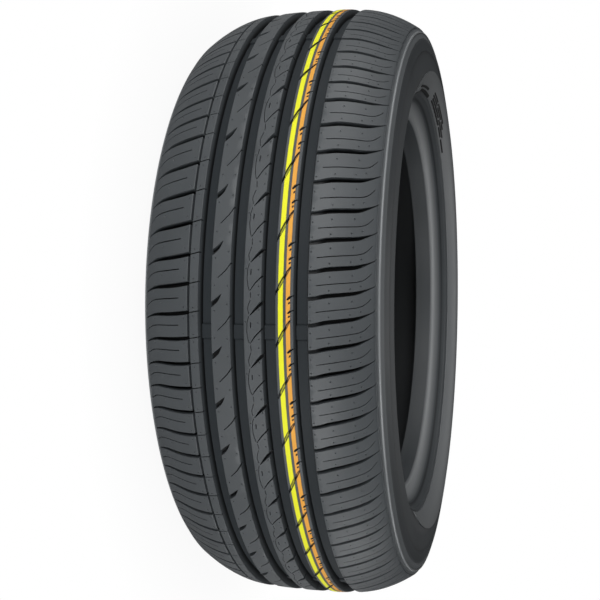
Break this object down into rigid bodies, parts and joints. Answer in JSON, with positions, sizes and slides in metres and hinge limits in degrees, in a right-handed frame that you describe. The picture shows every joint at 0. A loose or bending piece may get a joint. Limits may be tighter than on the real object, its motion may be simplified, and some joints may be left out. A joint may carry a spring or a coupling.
{
  "type": "car tyre",
  "caption": "Passenger car tyre for a 16 in rim, free of the rim, with an asymmetric ribbed tread, paint lines on one rib, plain sidewalls with rings and raised plates, and bead seats",
  "frame": {"origin": "centre of the tyre, on its axle line and in its middle plane", "axes": "+Z is the axle line, towards the outer sidewall, which the picture shows; the tyre lies on its inner sidewall"},
  "size_m": [0.6319, 0.632, 0.2232],
  "materials": {
    "tyre_rubber": "moulded black rubber, satin on the ribs",
    "yellow_paint": "matt marking paint on rubber",
    "orange_paint": "matt marking paint on rubber"
  },
  "bodies": {
    "root": {"tyre": "tyre_rubber", "yellow_line": "yellow_paint", "orange_line": "orange_paint"}
  },
  "joints": []
}
